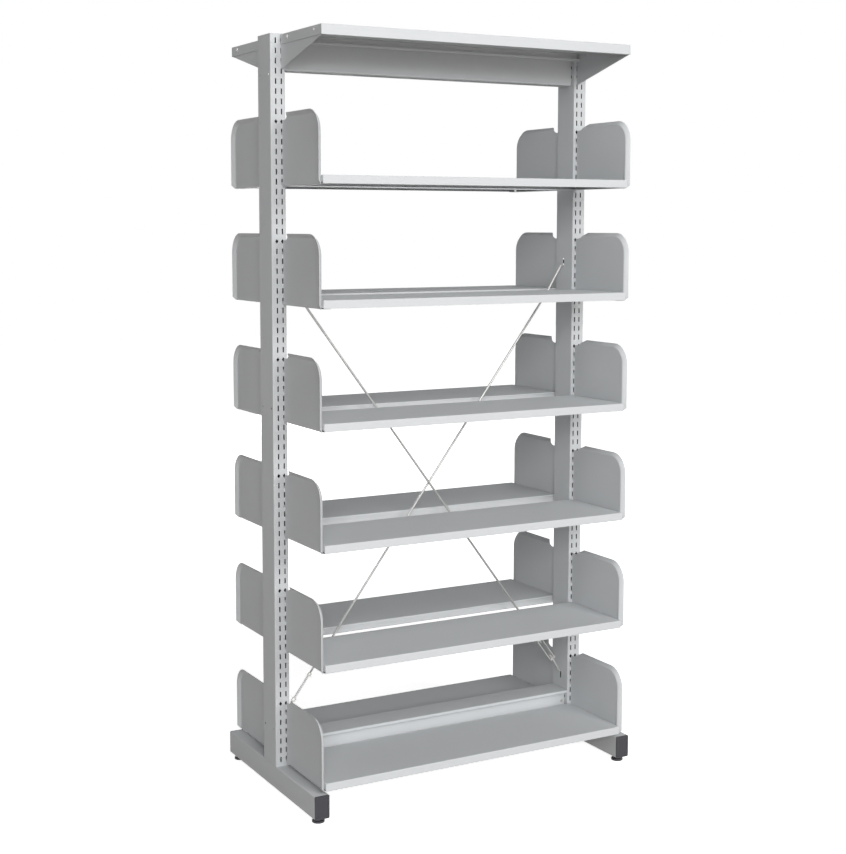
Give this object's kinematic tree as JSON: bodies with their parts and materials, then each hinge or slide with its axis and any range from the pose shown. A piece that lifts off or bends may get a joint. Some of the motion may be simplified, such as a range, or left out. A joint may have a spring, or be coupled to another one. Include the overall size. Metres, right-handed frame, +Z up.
{
  "type": "double sided library shelving",
  "caption": "Free-standing double sided steel library shelving: shelf trays on hooked end brackets, a canopy each side, cross bracing and levelling feet.",
  "frame": {"origin": "middle of the footprint on the floor", "axes": "+X along the shelves, -Y to the front, +Z up; the unit looks the same after half a turn about Z, apart from how far each turnbuckle is turned"},
  "size_m": [0.96, 0.56, 1.959],
  "materials": {
    "painted_steel": "light grey powder coat, semi-gloss, very fine orange peel",
    "zinc_steel": "bright zinc plate",
    "black_plastic": "fine moulded grain"
  },
  "bodies": {
    "frame": {"left_upright": "painted_steel", "right_upright": "painted_steel", "left_base_tube": "painted_steel", "right_base_tube": "painted_steel", "top_beam": "painted_steel", "bottom_beam": "painted_steel", "front_canopy": "painted_steel", "rear_canopy": "painted_steel", "front_left_canopy_gusset": "painted_steel", "front_right_canopy_gusset": "painted_steel", "rear_left_canopy_gusset": "painted_steel", "rear_right_canopy_gusset": "painted_steel", "canopy_screws": "zinc_steel", "beam_lock_screws": "zinc_steel", "foot_weld_nuts": "zinc_steel", "front_left_end_cap": "black_plastic", "front_right_end_cap": "black_plastic", "rear_left_end_cap": "black_plastic", "rear_right_end_cap": "black_plastic", "front_brace_rod": "zinc_steel", "rear_brace_rod": "zinc_steel", "front_brace_hook": "zinc_steel", "rear_brace_hook": "zinc_steel"},
    "front_level_1_brackets": {"front_brackets_1": "painted_steel"},
    "front_level_1_tray": {"front_shelf_1": "painted_steel"},
    "front_level_2_brackets": {"front_brackets_2": "painted_steel"},
    "front_level_2_tray": {"front_shelf_2": "painted_steel"},
    "front_level_3_brackets": {"front_brackets_3": "painted_steel"},
    "front_level_3_tray": {"front_shelf_3": "painted_steel"},
    "front_level_4_brackets": {"front_brackets_4": "painted_steel"},
    "front_level_4_tray": {"front_shelf_4": "painted_steel"},
    "front_level_5_brackets": {"front_brackets_5": "painted_steel"},
    "front_level_5_tray": {"front_shelf_5": "painted_steel"},
    "front_level_6_brackets": {"front_brackets_6": "painted_steel"},
    "front_level_6_tray": {"front_shelf_6": "painted_steel"},
    "rear_level_1_brackets": {"rear_brackets_1": "painted_steel"},
    "rear_level_1_tray": {"rear_shelf_1": "painted_steel"},
    "rear_level_2_brackets": {"rear_brackets_2": "painted_steel"},
    "rear_level_2_tray": {"rear_shelf_2": "painted_steel"},
    "rear_level_3_brackets": {"rear_brackets_3": "painted_steel"},
    "rear_level_3_tray": {"rear_shelf_3": "painted_steel"},
    "rear_level_4_brackets": {"rear_brackets_4": "painted_steel"},
    "rear_level_4_tray": {"rear_shelf_4": "painted_steel"},
    "rear_level_5_brackets": {"rear_brackets_5": "painted_steel"},
    "rear_level_5_tray": {"rear_shelf_5": "painted_steel"},
    "rear_level_6_brackets": {"rear_brackets_6": "painted_steel"},
    "rear_level_6_tray": {"rear_shelf_6": "painted_steel"},
    "front_left_pad": {"front_left_foot_pad": "black_plastic"},
    "front_left_stud": {"front_left_foot_stud": "zinc_steel"},
    "front_right_pad": {"front_right_foot_pad": "black_plastic"},
    "front_right_stud": {"front_right_foot_stud": "zinc_steel"},
    "rear_left_pad": {"rear_left_foot_pad": "black_plastic"},
    "rear_left_stud": {"rear_left_foot_stud": "zinc_steel"},
    "rear_right_pad": {"rear_right_foot_pad": "black_plastic"},
    "rear_right_stud": {"rear_right_foot_stud": "zinc_steel"},
    "rear_turnbuckle_body": {"rear_turnbuckle": "zinc_steel"},
    "front_turnbuckle_body": {"front_turnbuckle": "zinc_steel"}
  },
  "joints": [
    {"name": "front_brackets_1_unhook", "type": "slide", "parent": "frame", "child": "front_level_1_brackets", "axis": [0, 0, 1], "range_m": [0, 0.007]},
    {"name": "front_shelf_1_lift", "type": "slide", "parent": "front_level_1_brackets", "child": "front_level_1_tray", "axis": [0, 0, 1], "range_m": [0, 0.2]},
    {"name": "front_brackets_2_unhook", "type": "slide", "parent": "frame", "child": "front_level_2_brackets", "axis": [0, 0, 1], "range_m": [0, 0.007]},
    {"name": "front_shelf_2_lift", "type": "slide", "parent": "front_level_2_brackets", "child": "front_level_2_tray", "axis": [0, 0, 1], "range_m": [0, 0.2]},
    {"name": "front_brackets_3_unhook", "type": "slide", "parent": "frame", "child": "front_level_3_brackets", "axis": [0, 0, 1], "range_m": [0, 0.007]},
    {"name": "front_shelf_3_lift", "type": "slide", "parent": "front_level_3_brackets", "child": "front_level_3_tray", "axis": [0, 0, 1], "range_m": [0, 0.2]},
    {"name": "front_brackets_4_unhook", "type": "slide", "parent": "frame", "child": "front_level_4_brackets", "axis": [0, 0, 1], "range_m": [0, 0.007]},
    {"name": "front_shelf_4_lift", "type": "slide", "parent": "front_level_4_brackets", "child": "front_level_4_tray", "axis": [0, 0, 1], "range_m": [0, 0.2]},
    {"name": "front_brackets_5_unhook", "type": "slide", "parent": "frame", "child": "front_level_5_brackets", "axis": [0, 0, 1], "range_m": [0, 0.007]},
    {"name": "front_shelf_5_lift", "type": "slide", "parent": "front_level_5_brackets", "child": "front_level_5_tray", "axis": [0, 0, 1], "range_m": [0, 0.2]},
    {"name": "front_brackets_6_unhook", "type": "slide", "parent": "frame", "child": "front_level_6_brackets", "axis": [0, 0, 1], "range_m": [0, 0.007]},
    {"name": "front_shelf_6_lift", "type": "slide", "parent": "front_level_6_brackets", "child": "front_level_6_tray", "axis": [0, 0, 1], "range_m": [0, 0.2]},
    {"name": "rear_brackets_1_unhook", "type": "slide", "parent": "frame", "child": "rear_level_1_brackets", "axis": [0, 0, 1], "range_m": [0, 0.007]},
    {"name": "rear_shelf_1_lift", "type": "slide", "parent": "rear_level_1_brackets", "child": "rear_level_1_tray", "axis": [0, 0, 1], "range_m": [0, 0.2]},
    {"name": "rear_brackets_2_unhook", "type": "slide", "parent": "frame", "child": "rear_level_2_brackets", "axis": [0, 0, 1], "range_m": [0, 0.007]},
    {"name": "rear_shelf_2_lift", "type": "slide", "parent": "rear_level_2_brackets", "child": "rear_level_2_tray", "axis": [0, 0, 1], "range_m": [0, 0.2]},
    {"name": "rear_brackets_3_unhook", "type": "slide", "parent": "frame", "child": "rear_level_3_brackets", "axis": [0, 0, 1], "range_m": [0, 0.007]},
    {"name": "rear_shelf_3_lift", "type": "slide", "parent": "rear_level_3_brackets", "child": "rear_level_3_tray", "axis": [0, 0, 1], "range_m": [0, 0.2]},
    {"name": "rear_brackets_4_unhook", "type": "slide", "parent": "frame", "child": "rear_level_4_brackets", "axis": [0, 0, 1], "range_m": [0, 0.007]},
    {"name": "rear_shelf_4_lift", "type": "slide", "parent": "rear_level_4_brackets", "child": "rear_level_4_tray", "axis": [0, 0, 1], "range_m": [0, 0.2]},
    {"name": "rear_brackets_5_unhook", "type": "slide", "parent": "frame", "child": "rear_level_5_brackets", "axis": [0, 0, 1], "range_m": [0, 0.007]},
    {"name": "rear_shelf_5_lift", "type": "slide", "parent": "rear_level_5_brackets", "child": "rear_level_5_tray", "axis": [0, 0, 1], "range_m": [0, 0.2]},
    {"name": "rear_brackets_6_unhook", "type": "slide", "parent": "frame", "child": "rear_level_6_brackets", "axis": [0, 0, 1], "range_m": [0, 0.007]},
    {"name": "rear_shelf_6_lift", "type": "slide", "parent": "rear_level_6_brackets", "child": "rear_level_6_tray", "axis": [0, 0, 1], "range_m": [0, 0.2]},
    {"name": "front_left_foot_travel", "type": "slide", "parent": "frame", "child": "front_left_pad", "axis": [0, 0, -1], "range_m": [0, 0.015]},
    {"name": "front_left_foot_turn", "type": "hinge", "parent": "front_left_pad", "child": "front_left_stud", "pos_m": [-0.46, -0.254, 0], "axis": [0, 0, -1], "range_deg": [0, 3600]},
    {"name": "front_right_foot_travel", "type": "slide", "parent": "frame", "child": "front_right_pad", "axis": [0, 0, -1], "range_m": [0, 0.015]},
    {"name": "front_right_foot_turn", "type": "hinge", "parent": "front_right_pad", "child": "front_right_stud", "pos_m": [0.46, -0.254, 0], "axis": [0, 0, -1], "range_deg": [0, 3600]},
    {"name": "rear_left_foot_travel", "type": "slide", "parent": "frame", "child": "rear_left_pad", "axis": [0, 0, -1], "range_m": [0, 0.015]},
    {"name": "rear_left_foot_turn", "type": "hinge", "parent": "rear_left_pad", "child": "rear_left_stud", "pos_m": [-0.46, 0.254, 0], "axis": [0, 0, -1], "range_deg": [0, 3600]},
    {"name": "rear_right_foot_travel", "type": "slide", "parent": "frame", "child": "rear_right_pad", "axis": [0, 0, -1], "range_m": [0, 0.015]},
    {"name": "rear_right_foot_turn", "type": "hinge", "parent": "rear_right_pad", "child": "rear_right_stud", "pos_m": [0.46, 0.254, 0], "axis": [0, 0, -1], "range_deg": [0, 3600]},
    {"name": "rear_turnbuckle_turn", "type": "hinge", "parent": "frame", "child": "rear_turnbuckle_body", "pos_m": [-0.38612, 0.0035, 0.26347], "axis": [0.5993, 0, 0.8005], "range_deg": [-360, 360]},
    {"name": "front_turnbuckle_turn", "type": "hinge", "parent": "frame", "child": "front_turnbuckle_body", "pos_m": [0.38612, -0.0035, 0.26347], "axis": [-0.5993, 0, 0.8005], "range_deg": [-360, 360]}
  ],
  "couplings": [
    {"joint": "front_left_foot_turn", "follows": "front_left_foot_travel", "rad_per_m": 4188.8},
    {"joint": "front_right_foot_turn", "follows": "front_right_foot_travel", "rad_per_m": 4188.8},
    {"joint": "rear_left_foot_turn", "follows": "rear_left_foot_travel", "rad_per_m": 4188.8},
    {"joint": "rear_right_foot_turn", "follows": "rear_right_foot_travel", "rad_per_m": 4188.8}
  ]
}
